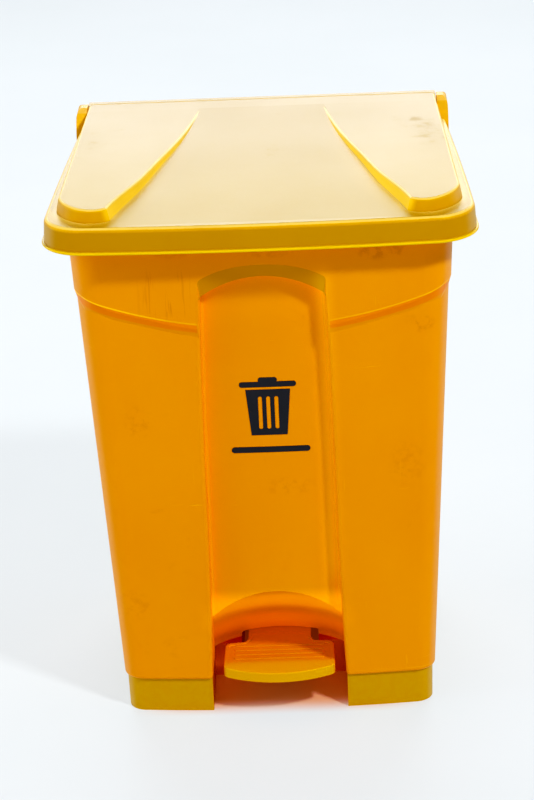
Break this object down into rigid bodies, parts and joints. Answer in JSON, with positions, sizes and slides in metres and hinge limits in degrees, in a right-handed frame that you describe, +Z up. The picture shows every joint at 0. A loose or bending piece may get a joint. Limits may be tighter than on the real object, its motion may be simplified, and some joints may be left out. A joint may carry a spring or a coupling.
{
  "type": "pedal bin",
  "caption": "Free-standing rectangular pedal bin for ward waste: tapered body with a sunk front panel, hinged lid with raised side plateaus, toe pedal and push-rod lid lift.",
  "frame": {"origin": "on the floor, under the middle of the overall footprint (lid front to lid rear, side to side)", "axes": "+Z up; -Y is the front with the pedal; +Y is the hinge side; +X runs side to side, to the right when facing the pedal"},
  "size_m": [0.4946, 0.415, 0.6675],
  "materials": {
    "yellow_plastic": "fine-grained moulded polypropylene, semi-gloss",
    "yellow_lid_plastic": "moulded polypropylene, semi-gloss",
    "yellow_pedal_plastic": "moulded polypropylene, worn by shoes",
    "yellow_foot_plastic": "moulded polypropylene, scuffed",
    "yellow_cover_plastic": "moulded polypropylene",
    "zinc_steel": "zinc-plated sheet steel",
    "pin_steel": "drawn steel bar, zinc-plated",
    "screw_steel": "zinc-plated screws",
    "spring_steel": "phosphated spring steel",
    "nylon": "natural nylon",
    "black_print": "black printed film"
  },
  "bodies": {
    "bin": {"body_shell": "yellow_plastic", "base_ring": "yellow_foot_plastic", "base_screws": "screw_steel", "rear_cover": "yellow_cover_plastic", "rear_cover_screws": "screw_steel", "hinge_pin_left": "pin_steel", "hinge_pin_right": "pin_steel", "axle_bushes": "nylon", "rod_guides": "nylon", "front_mark": "black_print"},
    "lid": {"lid_shell": "yellow_lid_plastic", "lid_lift_bracket": "zinc_steel", "lid_bracket_screws": "screw_steel"},
    "pedal": {"pedal_tread": "yellow_pedal_plastic", "pedal_screws": "screw_steel", "pedal_lever": "zinc_steel", "lever_axle": "pin_steel", "axle_clips": "spring_steel", "rod_lower_pin": "pin_steel", "rod_lower_clip": "spring_steel"},
    "lift_rod": {"push_rod": "pin_steel", "rod_upper_pin": "pin_steel", "rod_upper_washer": "zinc_steel", "rod_upper_clip": "spring_steel"}
  },
  "joints": [
    {"name": "lid_hinge", "type": "hinge", "parent": "bin", "child": "lid", "pos_m": [0, 0.195, 0.655], "axis": [-1, 0, 0], "range_deg": [0, 75]},
    {"name": "pedal_pivot", "type": "hinge", "parent": "bin", "child": "pedal", "pos_m": [0, 0.0018, 0.038], "axis": [1, 0, 0], "range_deg": [0, 14.2]},
    {"name": "rod_pivot", "type": "hinge", "parent": "pedal", "child": "lift_rod", "pos_m": [0, 0.16802, 0.0173], "axis": [1, 0, 0], "range_deg": [-14.2, 0]}
  ],
  "couplings": [
    {"joint": "pedal_pivot", "follows": "lid_hinge", "ratio": 0.18933},
    {"joint": "rod_pivot", "follows": "lid_hinge", "ratio": -0.18933}
  ]
}
